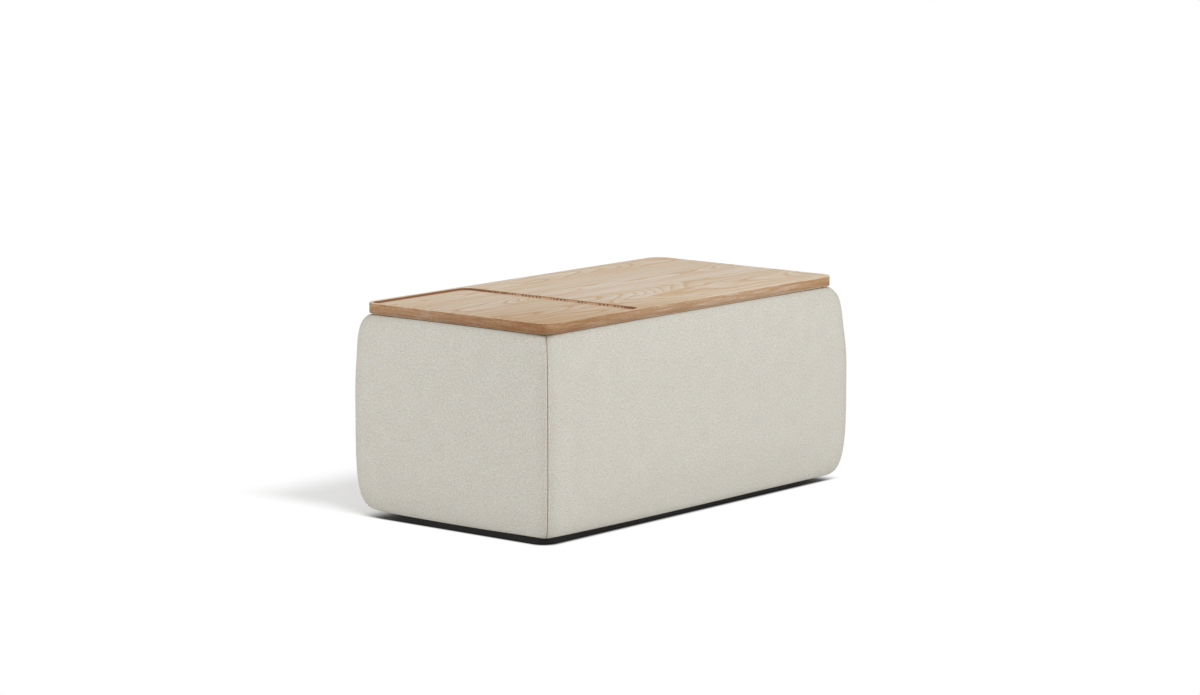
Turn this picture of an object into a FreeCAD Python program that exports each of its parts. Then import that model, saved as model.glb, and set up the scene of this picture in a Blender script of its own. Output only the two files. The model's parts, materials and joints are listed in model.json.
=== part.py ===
# Storage ottoman: an upholstered plywood box on a dark plinth, with a hinged oak lid that holds a tray.
# Millimetres. +Z is up, +X along the long side, -Y the front, the origin on the floor under the middle.
import FreeCAD, Part
import math
import operator
import os
import types
import Sketcher
from FreeCAD import Placement, Rotation, Vector

DIMENSIONS = {
    # Lid: an oak board with a shallow tray at its left end
    "overall_height": 420,
    "lid_length": 880,
    "lid_width": 456,
    "lid_thick": 20,
    "lid_corner_radius": 28,
    "lid_edge_round": 1.2,
    "lid_gap": 2.5,
    "tray_length": 280,
    "tray_rim": 7,
    "tray_depth": 5,
    "tray_corner_radius": 21,
    # Clearances: soft layers and loose fits, and a lid that rests
    "fit_gap": 0.2,
    "rest_gap": 0.3,
    # Plywood box
    "wall_thick": 15,
    "wall_inset": 18,
    "base_thick": 15,
    # Plinth and glides
    "plinth_height": 18,
    "plinth_width": 60,
    "plinth_inset": 36,
    "plinth_corner_radius": 30,
    "glide_thick": 2,
    "glide_diameter": 24,
    "glide_taper": 1.5,
    "glide_spacing": 340,
    # Upholstery: it swells past the lid at a corner, crowns along a side and tucks in at top and foot
    "side_swell": 14,
    "side_crown": 10,
    "side_tuck": 25,
    "cover_thick": 1.5,
    "cover_turn_in": 40,
    # Lining
    "liner_thick": 4,
    "liner_drop": 30,
    "mat_thick": 3,
    "dust_cloth_thick": 0.8,
    # Stop hinges
    "hinge_spacing": 290,
    "hinge_length": 70,
    "hinge_leaf_thick": 2,
    "hinge_leaf_corner": 5,
    "hinge_barrel_diameter": 10,
    "hinge_barrel_gap": 0.8,
    "hinge_knuckle_length": 34,
    "hinge_knuckle_gap": 0.4,
    "hinge_pin_diameter": 5,
    "hinge_pin_head": 1.5,
    "hinge_pin_clearance": 0.05,
    "hinge_stop_length": 2,
    "hinge_stop_angle": 60,
    "hinge_opening": 100,
    "hinge_screw_spacing": 24,
    # Battens and bumpers under the lid
    "batten_length": 330,
    "batten_width": 36,
    "batten_thick": 14,
    "batten_bevel": 6,
    "batten_spacing": 270,
    "batten_screw_spacing": 130,
    "bumper_diameter": 14,
    "bumper_corner_inset": 60,
    # Countersunk screws
    "screw_diameter": 4,
    "screw_head_diameter": 7.6,
    "screw_head_height": 1.9,
    "screw_clearance": 0.1,
    "wall_screw_length": 50,
    "wall_screw_margin": 60,
    "foot_screw_length": 45,
    "foot_screw_margin": 120,
    "plinth_screw_length": 28,
    "plinth_screw_margin": 70,
    "batten_screw_length": 24,
    "hinge_lid_screw_length": 12,
    "hinge_box_screw_length": 24,
}

SIGNS = {"+": operator.add, "-": operator.sub, "*": operator.mul, "/": operator.truediv}
ALONG_X = Rotation(Vector(0, 1, 0), 90)
UP = Rotation()
DOWN = Rotation(Vector(1, 0, 0), 180)
TO_BACK = Rotation(Vector(1, 0, 0), -90)
TO_FRONT = Rotation(Vector(1, 0, 0), 90)
SIDES = {"front": 0, "right": 90, "back": 180, "left": 270}
# A stop lug starts this many degrees round from straight down, by way of the back, when the lid is shut
STOP_LUG_START = 160
STOP_SLACK = 2
PROFILE_STEPS = 6
TOLERANCE = 1e-6


class Size:
    """A length from the sheet: its formula, for setExpression, and its value, for shapes made in code."""

    def __init__(self, text, value):
        self.text = text
        self.value = value

    def __add__(self, other):
        return joined(self, "+", other)

    def __radd__(self, other):
        return joined(other, "+", self)

    def __sub__(self, other):
        return joined(self, "-", other)

    def __rsub__(self, other):
        return joined(other, "-", self)

    def __mul__(self, other):
        return joined(self, "*", other)

    def __rmul__(self, other):
        return joined(other, "*", self)

    def __truediv__(self, other):
        return joined(self, "/", other)

    def __neg__(self):
        return joined(0, "-", self)


def as_size(thing):
    return thing if isinstance(thing, Size) else Size(str(float(thing)), float(thing))


def joined(left, sign, right):
    left = as_size(left)
    right = as_size(right)
    return Size(f"({left.text} {sign} {right.text})", SIGNS[sign](left.value, right.value))


doc = FreeCAD.newDocument("storage_ottoman")
sheet = doc.addObject("Spreadsheet::Sheet", "dims")
for row, (alias, number) in enumerate(DIMENSIONS.items(), start=1):
    sheet.set(f"A{row}", alias)
    sheet.set(f"B{row}", str(number))
    sheet.setAlias(f"B{row}", alias)
doc.recompute()
d = types.SimpleNamespace(**{alias: Size(f"dims.{alias}", float(sheet.get(alias))) for alias in DIMENSIONS})

# Heights of the layers, from the lid down and from the floor up
lid_under = d.overall_height - d.lid_thick
cover_top = lid_under - d.lid_gap
wall_top = cover_top - d.cover_thick - d.fit_gap
base_under = d.glide_thick + d.plinth_height
base_top = base_under + d.base_thick
cover_foot = base_under - d.fit_gap - d.cover_thick
liner_top = wall_top - d.liner_drop

# Distances from the middle, along the length and along the width
box_half_length = d.lid_length / 2 - d.wall_inset
box_half_width = d.lid_width / 2 - d.wall_inset
room_half_length = box_half_length - d.wall_thick
room_half_width = box_half_width - d.wall_thick
plinth_half_length = d.lid_length / 2 - d.plinth_inset
plinth_half_width = d.lid_width / 2 - d.plinth_inset
wall_middle_x = box_half_length - d.wall_thick / 2
wall_middle_y = box_half_width - d.wall_thick / 2
liner_gap = d.cover_thick + 2 * d.fit_gap

# The hinge axis lies just behind the lid's back edge, with the barrel's underside on the cover
barrel_radius = d.hinge_barrel_diameter / 2
hinge_y = d.lid_width / 2 + d.hinge_barrel_gap + barrel_radius
box_leaf_under = cover_top + d.fit_gap
hinge_z = box_leaf_under + barrel_radius
lid_leaf_under = lid_under + d.fit_gap
leaf_front = room_half_width
leaf_back = hinge_y - barrel_radius - d.hinge_knuckle_gap
hinge_places = {"left": -d.hinge_spacing, "middle": as_size(0), "right": d.hinge_spacing}

nodes = {}


def keep(thing, name):
    """Marks a document object as a finished sub-part under its own name."""
    thing.Label = name
    nodes[name] = thing
    return thing


def bind(thing, **sizes):
    for name, size in sizes.items():
        thing.setExpression(name, as_size(size).text)


def place(thing, x=0, y=0, z=0, turn=UP):
    thing.Placement = Placement(Vector(), turn)
    for axis, size in zip("xyz", (x, y, z)):
        thing.setExpression(f"Placement.Base.{axis}", as_size(size).text)
    return thing


def block(name, low, high):
    """A box between two corners, each an (x, y, z) of sizes."""
    box = doc.addObject("Part::Box", name)
    spans = [as_size(top) - bottom for bottom, top in zip(low, high)]
    bind(box, Length=spans[0], Width=spans[1], Height=spans[2])
    return place(box, *low)


def rod(name, radius, length, x=0, y=0, z=0, turn=UP, angle=360):
    cylinder = doc.addObject("Part::Cylinder", name)
    bind(cylinder, Radius=radius, Height=length, Angle=angle)
    return place(cylinder, x, y, z, turn)


def together(name, things):
    group = doc.addObject("Part::Compound", name)
    group.Links = things
    return group


def fused(name, things):
    union = doc.addObject("Part::MultiFuse", name)
    union.Shapes = things
    union.Refine = True
    return union


def cut(name, base, tools):
    result = doc.addObject("Part::Cut", name)
    result.Base = base
    result.Tool = tools[0] if len(tools) == 1 else together(f"{name}_tools", tools)
    return result


def edges_where(shape, test, length=None):
    """The numbers, from 1, of the edges whose ends both pass a test, and of one length if it is given."""
    return [
        number
        for number, edge in enumerate(shape.Edges, start=1)
        if all(test(vertex.Point) for vertex in edge.Vertexes)
        and (length is None or near(edge.Length, length.value))
    ]


def near(first, second):
    return abs(first - second) < TOLERANCE


def eased(kind, name, base, numbers, size):
    """A Part fillet or chamfer of one size on the numbered edges."""
    feature = doc.addObject(kind, name)
    feature.Base = base
    feature.Edges = [(number, size.value, size.value) for number in numbers]
    return feature


def screws(name, length, spots, turn):
    """Countersunk screws with their heads at the spots, and the same shapes grown, to cut their holes."""
    groups = []
    for suffix, grow in (("", as_size(0)), ("_holes", d.screw_clearance)):
        pieces = []
        for number, (x, y, z) in enumerate(spots, start=1):
            title = f"{name}{suffix}_{number}"
            shank = rod(f"{title}_shank", d.screw_diameter / 2 + grow, length + grow)
            head = doc.addObject("Part::Cone", f"{title}_head")
            bind(head, Radius1=d.screw_head_diameter / 2 + grow, Radius2=d.screw_diameter / 2 + grow)
            bind(head, Height=d.screw_head_height)
            pieces.append(place(fused(title, [shank, head]), x, y, z, turn))
        groups.append(together(f"{name}{suffix}", pieces))
    keep(groups[0], name)
    return groups[1]


# Screws first, because their holes go through the pieces that they join
wall_screw_heights = [
    base_top + d.wall_screw_margin,
    (base_top + wall_top) / 2,
    wall_top - d.wall_screw_margin,
]
wall_ends = (-wall_middle_x, wall_middle_x)
front_spots = [(x, -box_half_width, z) for x in wall_ends for z in wall_screw_heights]
front_wall_holes = screws("wall_front_screws", d.wall_screw_length, front_spots, TO_BACK)
back_spots = [(x, box_half_width, z) for x in wall_ends for z in wall_screw_heights]
back_wall_holes = screws("wall_back_screws", d.wall_screw_length, back_spots, TO_FRONT)

foot_screw_x = box_half_length - d.foot_screw_margin
foot_row = (-foot_screw_x, 0, foot_screw_x)
foot_spots = [(x, y, base_under) for y in (-wall_middle_y, wall_middle_y) for x in foot_row]
foot_spots += [(x, 0, base_under) for x in wall_ends]
foot_holes = screws("wall_foot_screws", d.foot_screw_length, foot_spots, UP)

plinth_screw_x = plinth_half_length - d.plinth_screw_margin
plinth_screw_y = plinth_half_width - d.plinth_width / 2
plinth_row = (-plinth_screw_x, 0, plinth_screw_x)
plinth_spots = [(x, y, base_top) for y in (-plinth_screw_y, plinth_screw_y) for x in plinth_row]
short_rail_middle = plinth_half_length - d.plinth_width / 2
plinth_spots += [(x, 0, base_top) for x in (-short_rail_middle, short_rail_middle)]
plinth_holes = screws("plinth_screws", d.plinth_screw_length, plinth_spots, DOWN)

batten_under = lid_under - d.batten_thick
batten_spots = [
    (x, y, batten_under)
    for x in (-d.batten_spacing, d.batten_spacing)
    for y in (-d.batten_screw_spacing, 0, d.batten_screw_spacing)
]
batten_holes = screws("batten_screws", d.batten_screw_length, batten_spots, UP)

hinge_row = (-d.hinge_screw_spacing, 0, d.hinge_screw_spacing)
hinge_screw_x = [x + step for x in hinge_places.values() for step in hinge_row]
lid_leaf_spots = [(x, wall_middle_y, lid_leaf_under) for x in hinge_screw_x]
lid_leaf_holes = screws("hinge_lid_screws", d.hinge_lid_screw_length, lid_leaf_spots, UP)
box_leaf_spots = [(x, wall_middle_y, box_leaf_under + d.hinge_leaf_thick) for x in hinge_screw_x]
box_leaf_holes = screws("hinge_box_screws", d.hinge_box_screw_length, box_leaf_spots, DOWN)


def plinth():
    """Two long rails with rounded outer corners, and two short rails between them."""
    rail_inside = plinth_half_width - d.plinth_width
    for side, sign in (("front", -1), ("back", 1)):
        low_y, high_y = (-plinth_half_width, -rail_inside) if sign < 0 else (rail_inside, plinth_half_width)
        bar = block(
            f"plinth_{side}_bar",
            (-plinth_half_length, low_y, d.glide_thick),
            (plinth_half_length, high_y, base_under),
        )
        doc.recompute()
        face = sign * plinth_half_width.value
        corners = edges_where(bar.Shape, lambda point: near(point.y, face), d.plinth_height)
        rail = eased("Part::Fillet", f"plinth_{side}_rail", bar, corners, d.plinth_corner_radius)
        keep(cut(f"plinth_{side}", rail, [plinth_holes]), f"plinth_{side}")
    for side, low_x, high_x in (
        ("left", -plinth_half_length, d.plinth_width - plinth_half_length),
        ("right", plinth_half_length - d.plinth_width, plinth_half_length),
    ):
        low = (low_x, -rail_inside, d.glide_thick)
        bar = block(f"plinth_{side}_bar", low, (high_x, rail_inside, base_under))
        keep(cut(f"plinth_{side}", bar, [plinth_holes]), f"plinth_{side}")


def floor_glides():
    """Round glides with a tapered foot, under the plinth's long rails."""
    discs = []
    for y in (-plinth_screw_y, plinth_screw_y):
        for x in (-d.glide_spacing, 0, d.glide_spacing):
            disc = doc.addObject("Part::Cone", "glide")
            top_radius = d.glide_diameter / 2
            bind(disc, Radius1=top_radius - d.glide_taper, Radius2=top_radius, Height=d.glide_thick)
            discs.append(place(disc, x, y))
    keep(together("floor_glides", discs), "floor_glides")


def box_panels():
    """The base panel, and four walls that stand on it: long walls outside, end walls between them."""
    corner = (-box_half_length, -box_half_width, base_under)
    base = block("base_board", corner, (box_half_length, box_half_width, base_top))
    keep(cut("base_panel", base, [foot_holes, plinth_holes]), "base_panel")
    corner = (-box_half_length, -box_half_width, base_top)
    front = block("front_board", corner, (box_half_length, -room_half_width, wall_top))
    keep(cut("wall_front", front, [front_wall_holes, foot_holes]), "wall_front")
    corner = (-box_half_length, room_half_width, base_top)
    back = block("back_board", corner, (box_half_length, box_half_width, wall_top))
    keep(cut("wall_back", back, [back_wall_holes, foot_holes, box_leaf_holes]), "wall_back")
    for side, low_x, high_x in (
        ("left", -box_half_length, -room_half_length),
        ("right", room_half_length, box_half_length),
    ):
        end = block(f"{side}_board", (low_x, -room_half_width, base_top), (high_x, room_half_width, wall_top))
        keep(cut(f"wall_{side}", end, [front_wall_holes, back_wall_holes, foot_holes]), f"wall_{side}")


def linings():
    """Lining boards that hold the cover's turned-in edge, a floor mat, and a dust cloth under the base."""
    outer_x = room_half_length - liner_gap
    outer_y = room_half_width - liner_gap
    inner_x = outer_x - d.liner_thick
    inner_y = outer_y - d.liner_thick
    for side, low_y, high_y in (("front", -outer_y, -inner_y), ("back", inner_y, outer_y)):
        board = block(f"liner_{side}", (-outer_x, low_y, base_top), (outer_x, high_y, liner_top))
        keep(board, f"liner_{side}")
    for side, low_x, high_x in (("left", -outer_x, -inner_x), ("right", inner_x, outer_x)):
        board = block(f"liner_{side}", (low_x, -inner_y, base_top), (high_x, inner_y, liner_top))
        keep(board, f"liner_{side}")
    mat_x = inner_x - d.fit_gap
    mat_y = inner_y - d.fit_gap
    keep(block("floor_mat", (-mat_x, -mat_y, base_top), (mat_x, mat_y, base_top + d.mat_thick)), "floor_mat")
    cloth_x = plinth_half_length - d.plinth_width - d.fit_gap
    cloth_y = plinth_half_width - d.plinth_width - d.fit_gap
    cloth_low = (-cloth_x, -cloth_y, base_under - d.dust_cloth_thick)
    keep(block("dust_cloth", cloth_low, (cloth_x, cloth_y, base_under)), "dust_cloth")


def side_form(run, reach, inner, low, high, past=0.0):
    """A padded side that faces the front: a loft through level sections with a bowed face and mitred ends.

    run and reach are a corner's distances along and across at the widest, and inner is the flat back.
    The face draws in towards the top and foot on a superellipse. past lengthens the form beyond its
    corners, with square ends, for cutting.
    """
    tuck = d.side_tuck.value
    crown = d.side_crown.value
    sections = []
    for step in range(-PROFILE_STEPS, PROFILE_STEPS + 1):
        turn = math.radians(90 * step / PROFILE_STEPS)
        rise = math.copysign(math.sqrt(abs(math.sin(turn))), turn)
        level = (low + high) / 2 + rise * (high - low) / 2
        drawn_in = tuck * (1 - math.cos(turn))
        corner_x = run - drawn_in
        corner_y = reach - drawn_in
        inner_x = run - reach + inner
        middle = Vector(0, -corner_y - crown, level)
        if past:
            bow = crown * (1 - ((corner_x + past) / corner_x) ** 2)
            corner_y = corner_y + bow
            corner_x = corner_x + past
            inner_x = corner_x
        back_left = Vector(-inner_x, -inner, level)
        back_right = Vector(inner_x, -inner, level)
        right = Vector(corner_x, -corner_y, level)
        left = Vector(-corner_x, -corner_y, level)
        edges = [
            Part.LineSegment(back_left, back_right).toShape(),
            Part.LineSegment(back_right, right).toShape(),
            Part.Arc(right, middle, left).toShape(),
            Part.LineSegment(left, back_left).toShape(),
        ]
        sections.append(Part.Wire(edges))
    return Part.makeLoft(sections, True)


def upholstery():
    """Four foam pads on the walls and four cloth panels over them, which meet at mitred corner seams."""
    corner_x = d.lid_length / 2 + d.side_swell - d.fit_gap / 2
    corner_y = d.lid_width / 2 + d.side_swell - d.fit_gap / 2
    skin = d.cover_thick.value
    layer = skin + d.fit_gap.value
    for side, angle in SIDES.items():
        along_length = side in ("front", "back")
        run = (corner_x if along_length else corner_y).value
        reach = (corner_y if along_length else corner_x).value + d.fit_gap.value / 2
        wall = (box_half_width if along_length else box_half_length).value
        room = (room_half_width if along_length else room_half_length).value

        pad = doc.addObject("Part::Feature", f"foam_{side}")
        pad.Shape = side_form(run - layer, reach - layer, wall, base_under.value, wall_top.value)
        pad.Placement = Placement(Vector(), Rotation(Vector(0, 0, 1), angle))
        keep(pad, f"foam_{side}")

        outer = side_form(run, reach, room - layer, cover_foot.value, cover_top.value)
        core = side_form(
            run - skin,
            reach - skin,
            room - d.fit_gap.value,
            cover_foot.value + skin,
            cover_top.value - skin,
            past=reach - room,
        )
        below_turn_in = Part.makeBox(
            2 * run, room, wall_top.value - d.cover_turn_in.value, Vector(-run, -room + d.fit_gap.value, 0)
        )
        panel = doc.addObject("Part::Feature", f"cover_{side}_panel")
        panel.Shape = outer.cut(core).cut(below_turn_in)
        panel.Placement = Placement(Vector(), Rotation(Vector(0, 0, 1), angle))
        if side == "back":
            panel = cut("cover_back_pierced", panel, [box_leaf_holes])
        keep(panel, f"cover_{side}")


def rounded_rectangle(sketch, left, front, length, width, radius):
    """A rounded rectangle whose left and front sides lie at these distances from the sketch's origin."""
    low_x = -left.value
    low_y = -front.value
    high_x = low_x + length.value
    high_y = low_y + width.value
    r = radius.value
    runs = [
        (Vector(low_x + r, low_y), Vector(high_x - r, low_y)),
        (Vector(high_x, low_y + r), Vector(high_x, high_y - r)),
        (Vector(high_x - r, high_y), Vector(low_x + r, high_y)),
        (Vector(low_x, high_y - r), Vector(low_x, low_y + r)),
    ]
    centres = [
        Vector(high_x - r, low_y + r),
        Vector(high_x - r, high_y - r),
        Vector(low_x + r, high_y - r),
        Vector(low_x + r, low_y + r),
    ]
    for number, ((start, end), centre) in enumerate(zip(runs, centres)):
        sketch.addGeometry(Part.LineSegment(start, end), False)
        circle = Part.Circle(centre, Vector(0, 0, 1), r)
        first = math.radians(90 * number - 90)
        sketch.addGeometry(Part.ArcOfCircle(circle, first, first + math.pi / 2), False)
    pieces = 8
    for number in range(pieces):
        sketch.addConstraint(Sketcher.Constraint("Tangent", number, 2, (number + 1) % pieces, 1))
    bottom, right, top, left_line = 0, 2, 4, 6
    for line in (bottom, top):
        sketch.addConstraint(Sketcher.Constraint("Horizontal", line))
    for line in (right, left_line):
        sketch.addConstraint(Sketcher.Constraint("Vertical", line))
    for arc in (3, 5, 7):
        sketch.addConstraint(Sketcher.Constraint("Equal", 1, arc))
    measures = [
        (Sketcher.Constraint("Radius", 1, r), radius),
        (Sketcher.Constraint("DistanceX", left_line, 1, right, 1, length.value), length),
        (Sketcher.Constraint("DistanceY", bottom, 1, top, 1, width.value), width),
        (Sketcher.Constraint("DistanceX", left_line, 1, -1, 1, left.value), left),
        (Sketcher.Constraint("DistanceY", bottom, 1, -1, 1, front.value), front),
    ]
    for constraint, size in measures:
        index = sketch.addConstraint(constraint)
        sketch.setExpression(f"Constraints[{index}]", size.text)


def sketch_on_level(body, name, height):
    """A sketch parallel to its body's XY plane, at a height above it."""
    sketch = body.newObject("Sketcher::SketchObject", name)
    plane = next(feature for feature in body.Origin.OriginFeatures if feature.Role == "XY_Plane")
    sketch.AttachmentSupport = [(plane, "")]
    sketch.MapMode = "FlatFace"
    sketch.setExpression("AttachmentOffset.Base.z", as_size(height).text)
    return sketch


def lid_board():
    """The oak board: a rounded plate with the tray pocketed into it, eased edges and hinge mortises."""
    body = doc.addObject("PartDesign::Body", "lid_blank")
    outline = sketch_on_level(body, "lid_outline", 0)
    half_length = d.lid_length / 2
    half_width = d.lid_width / 2
    rounded_rectangle(outline, half_length, half_width, d.lid_length, d.lid_width, d.lid_corner_radius)
    plate = body.newObject("PartDesign::Pad", "lid_plate")
    plate.Profile = outline
    bind(plate, Length=d.lid_thick)
    doc.recompute()
    plate_volume = plate.Shape.Volume

    recess = sketch_on_level(body, "tray_outline", d.lid_thick)
    rounded_rectangle(
        recess,
        half_length - d.tray_rim,
        half_width - d.tray_rim,
        d.tray_length - d.tray_rim,
        d.lid_width - 2 * d.tray_rim,
        d.tray_corner_radius,
    )
    tray = body.newObject("PartDesign::Pocket", "tray_recess")
    tray.Profile = recess
    bind(tray, Length=d.tray_depth)
    doc.recompute()
    if tray.Shape.Volume >= plate_volume:
        raise RuntimeError("the tray was not cut into the lid")

    faces = (0.0, d.lid_thick.value)
    outer_edges = edges_where(tray.Shape, lambda point: near(point.z, faces[0]) or near(point.z, faces[1]))
    flat = [number for number in outer_edges if near(tray.Shape.Edges[number - 1].BoundBox.ZLength, 0)]
    easing = body.newObject("PartDesign::Fillet", "lid_edges")
    easing.Base = (tray, [f"Edge{number}" for number in flat])
    bind(easing, Radius=d.lid_edge_round)
    body.Tip = easing
    place(body, 0, 0, lid_under)

    mortises = [
        block(
            f"mortise_{side}",
            (x - d.hinge_length / 2 - d.fit_gap, leaf_front - d.fit_gap, lid_under - d.fit_gap),
            (x + d.hinge_length / 2 + d.fit_gap, hinge_y, lid_leaf_under + d.hinge_leaf_thick),
        )
        for side, x in hinge_places.items()
    ]
    keep(cut("lid_board", body, [*mortises, lid_leaf_holes, batten_holes]), "lid_board")


def lid_battens():
    """Two battens across the lid's underside, with bevelled ends."""
    for side, x in (("left", -d.batten_spacing), ("right", d.batten_spacing)):
        low = (x - d.batten_width / 2, -d.batten_length / 2, batten_under)
        bar = block(f"batten_{side}_bar", low, (x + d.batten_width / 2, d.batten_length / 2, lid_under))
        doc.recompute()
        under = edges_where(bar.Shape, lambda point: near(point.z, batten_under.value), d.batten_width)
        bevelled = eased("Part::Chamfer", f"batten_{side}", bar, under, d.batten_bevel)
        keep(cut(f"lid_batten_{side}", bevelled, [batten_holes]), f"lid_batten_{side}")


def lid_bumpers():
    """Felt discs under the lid, over the front and end walls."""
    front_x = d.lid_length / 2 - d.bumper_corner_inset
    spots = [(x, -wall_middle_y) for x in (-front_x, 0, front_x)]
    spots += [(x, 0) for x in (-wall_middle_x, wall_middle_x)]
    thick = d.lid_gap - d.rest_gap
    discs = [rod("bumper", d.bumper_diameter / 2, thick, x, y, lid_under - thick) for x, y in spots]
    keep(together("lid_bumpers", discs), "lid_bumpers")


def strap(name, x, under):
    """A hinge leaf's flat plate, with its two free corners rounded."""
    half = d.hinge_length / 2
    plate = block(name, (x - half, leaf_front, under), (x + half, leaf_back, under + d.hinge_leaf_thick))
    doc.recompute()
    corners = edges_where(plate.Shape, lambda point: near(point.y, leaf_front.value), d.hinge_leaf_thick)
    return eased("Part::Fillet", f"{name}_rounded", plate, corners, d.hinge_leaf_corner)


def hinge(side, x):
    """One stop hinge: the box leaf's knuckle sits between the lid leaf's two, whose lugs stop the turn."""
    name = f"hinge_{side}"
    half = d.hinge_length / 2
    half_knuckle = d.hinge_knuckle_length / 2
    lid_knuckle = half_knuckle + d.hinge_knuckle_gap
    lug_turn = Rotation(Vector(1, 0, 0), STOP_LUG_START) * ALONG_X
    recess_start = STOP_LUG_START - d.hinge_opening.value - STOP_SLACK
    recess_turn = Rotation(Vector(1, 0, 0), recess_start) * ALONG_X
    recess_angle = d.hinge_opening + d.hinge_stop_angle + 2 * STOP_SLACK
    recess_depth = d.hinge_stop_length + d.fit_gap

    def on_axis(title, radius, length, start, turn=ALONG_X, angle=360):
        return rod(f"{name}_{title}", radius, length, start, hinge_y, hinge_z, turn, angle)

    recesses = [
        on_axis(f"recess_{end}", d.hinge_barrel_diameter, recess_depth, start, recess_turn, recess_angle)
        for end, start in (("left", x - half_knuckle), ("right", x + half_knuckle - recess_depth))
    ]
    bore_radius = d.hinge_pin_diameter / 2 + d.hinge_pin_clearance
    bore = on_axis("bore", bore_radius, d.hinge_length * 2, x - d.hinge_length)
    middle = on_axis("middle", barrel_radius, d.hinge_knuckle_length, x - half_knuckle)
    tongue = block(
        f"{name}_tongue",
        (x - half_knuckle, leaf_back - d.hinge_leaf_thick, box_leaf_under),
        (x + half_knuckle, hinge_y, box_leaf_under + d.hinge_leaf_thick),
    )
    box_leaf = fused(f"{name}_box_blank", [strap(f"{name}_box_strap", x, box_leaf_under), tongue, middle])
    keep(cut(f"{name}_box_leaf", box_leaf, [bore, *recesses, box_leaf_holes]), f"{name}_box_leaf")

    pieces = [strap(f"{name}_lid_strap", x, lid_leaf_under)]
    tab_back = hinge_y - bore_radius
    tab_top = lid_leaf_under + d.hinge_leaf_thick
    for end, low_x, high_x in (("left", x - half, x - lid_knuckle), ("right", x + lid_knuckle, x + half)):
        pieces.append(on_axis(f"{end}_knuckle", barrel_radius, high_x - low_x, low_x))
        tab_low = (low_x, leaf_back - d.hinge_leaf_thick, lid_leaf_under)
        pieces.append(block(f"{name}_{end}_tab", tab_low, (high_x, tab_back, tab_top)))
    lug_length = d.hinge_stop_length + d.hinge_knuckle_gap
    for end, start in (("left", x - lid_knuckle), ("right", x + lid_knuckle - lug_length)):
        pieces.append(on_axis(f"{end}_lug", barrel_radius, lug_length, start, lug_turn, d.hinge_stop_angle))
    lid_leaf = fused(f"{name}_lid_blank", pieces)
    keep(cut(f"{name}_lid_leaf", lid_leaf, [bore, lid_leaf_holes]), f"{name}_lid_leaf")

    pin_radius = d.hinge_pin_diameter / 2
    shank = on_axis("shank", pin_radius, d.hinge_length + 2 * d.fit_gap, x - half - d.fit_gap)
    heads = []
    for end, start, wide, narrow in (
        ("left", x - half - d.fit_gap - d.hinge_pin_head, pin_radius, barrel_radius - d.hinge_barrel_gap),
        ("right", x + half + d.fit_gap, barrel_radius - d.hinge_barrel_gap, pin_radius),
    ):
        head = doc.addObject("Part::Cone", f"{name}_{end}_head")
        bind(head, Radius1=wide, Radius2=narrow, Height=d.hinge_pin_head)
        heads.append(place(head, start, hinge_y, hinge_z, ALONG_X))
    keep(fused(f"{name}_pin", [shank, *heads]), f"{name}_pin")


plinth()
floor_glides()
box_panels()
linings()
upholstery()
lid_board()
lid_battens()
lid_bumpers()
for hinge_side, hinge_x in hinge_places.items():
    hinge(hinge_side, hinge_x)
doc.recompute()

for thing in doc.Objects:
    if "Invalid" in thing.State or "Error" in thing.State:
        raise RuntimeError(f"{thing.Label} failed: {thing.State}")
for name, thing in nodes.items():
    if thing.Shape.isNull() or not thing.Shape.isValid() or not thing.Shape.Solids:
        raise RuntimeError(f"{name} has no valid solid")

os.makedirs("parts", exist_ok=True)
for name, thing in nodes.items():
    thing.Shape.exportStep(f"parts/{name}.step")
print(f"{len(nodes)} sub-parts written")
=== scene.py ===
# Looks of the storage ottoman: cloth sides over foam, an oak lid with a tray, and what shows when it is open.
# Metres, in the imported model's own frame: +Z up, +X along the long side, -Y the front.
import json
import math
from collections import namedtuple
import bmesh
import bpy
import numpy as np
from mathutils import Matrix, Vector


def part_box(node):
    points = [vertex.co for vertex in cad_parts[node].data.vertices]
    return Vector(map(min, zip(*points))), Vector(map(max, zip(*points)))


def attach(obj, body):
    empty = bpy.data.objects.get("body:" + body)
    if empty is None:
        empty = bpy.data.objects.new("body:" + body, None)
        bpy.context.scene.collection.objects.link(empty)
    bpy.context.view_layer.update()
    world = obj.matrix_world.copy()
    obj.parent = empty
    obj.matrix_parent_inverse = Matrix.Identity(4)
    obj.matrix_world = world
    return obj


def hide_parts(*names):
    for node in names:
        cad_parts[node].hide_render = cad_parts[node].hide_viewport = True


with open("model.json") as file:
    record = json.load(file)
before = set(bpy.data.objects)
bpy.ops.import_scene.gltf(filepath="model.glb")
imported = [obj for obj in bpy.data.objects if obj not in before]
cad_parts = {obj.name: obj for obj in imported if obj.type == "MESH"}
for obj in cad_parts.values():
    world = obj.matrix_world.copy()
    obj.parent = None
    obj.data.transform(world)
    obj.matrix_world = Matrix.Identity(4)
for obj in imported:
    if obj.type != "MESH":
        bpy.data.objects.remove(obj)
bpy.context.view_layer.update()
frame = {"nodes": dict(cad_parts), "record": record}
nodes = frame["nodes"]
scene = bpy.context.scene

# Upholstery sizes, the same as the solids have
CORNER_X = 0.454
CORNER_Y = 0.242
SIDE_TUCK = 0.025
SIDE_CROWN = 0.010
COVER_TOP = 0.3975
COVER_FOOT = 0.0183
WALL_DEPTH = 0.032
TURN_IN_DEPTH = 0.0487
TURN_IN_FOOT = 0.3558
CLOTH_THICK = 0.0012
FOAM_GAP = 0.0017
FOAM_CORNER_GAP = 0.007
# For each side: its degrees of turn from the front, half its length, and its distance from the middle
SIDES = {
    "front": (0, CORNER_X, CORNER_Y),
    "right": (90, CORNER_Y, CORNER_X),
    "back": (180, CORNER_X, CORNER_Y),
    "left": (270, CORNER_Y, CORNER_X),
}
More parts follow.
